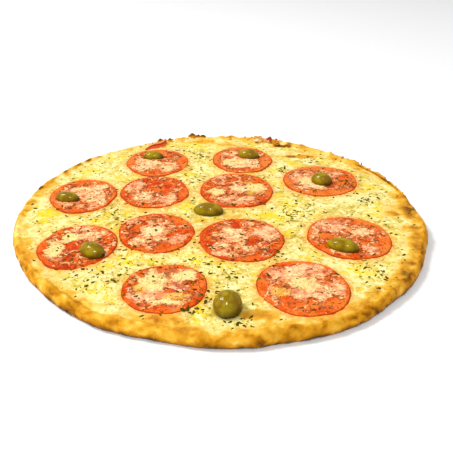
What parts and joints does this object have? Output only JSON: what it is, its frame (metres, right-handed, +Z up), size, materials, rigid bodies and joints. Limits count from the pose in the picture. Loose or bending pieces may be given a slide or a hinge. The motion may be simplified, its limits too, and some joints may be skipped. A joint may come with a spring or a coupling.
{
  "type": "cheese pizza with tomato slices and green olives",
  "caption": "Whole round baked pizza on a thin dough base with a low uneven rim, a layer of melted cheese, tomato slices, whole green olives and dried herb flakes",
  "frame": {"origin": "middle of the outline's box, on the flat underside of the dough", "axes": "+Z up through the pizza, -Y towards the side that faces the viewer in the picture, +X to the viewer's right"},
  "size_m": [0.343, 0.3356, 0.0253],
  "materials": {
    "baked_dough": "baked dough, dry and matt, golden with browned patches",
    "cheese": "melted cheese, satin, pale cream with yellow and golden patches and dried herbs",
    "tomato": "baked tomato flesh, moist, part covered with melted cheese",
    "olive": "green olive skin, smooth and glossy",
    "tomato_skin": "curled tomato skin, moist",
    "baked_bits": "toasted bits, satin"
  },
  "bodies": {
    "root": {"crust": "baked_dough", "melted_cheese": "cheese", "tomato_slice_01": "tomato", "tomato_slice_02": "tomato", "tomato_slice_03": "tomato", "tomato_slice_04": "tomato", "tomato_slice_05": "tomato", "tomato_slice_06": "tomato", "tomato_slice_07": "tomato", "tomato_slice_08": "tomato", "tomato_slice_09": "tomato", "tomato_slice_10": "tomato", "tomato_slice_11": "tomato", "tomato_slice_12": "tomato", "olive_01": "olive", "olive_02": "olive", "olive_03": "olive", "olive_04": "olive", "olive_05": "olive", "olive_06": "olive", "olive_07": "olive", "olive_08": "olive", "tomato_strip": "tomato_skin", "baked_bit_1": "baked_bits", "baked_bit_2": "baked_bits", "baked_bit_3": "baked_bits"}
  },
  "joints": []
}
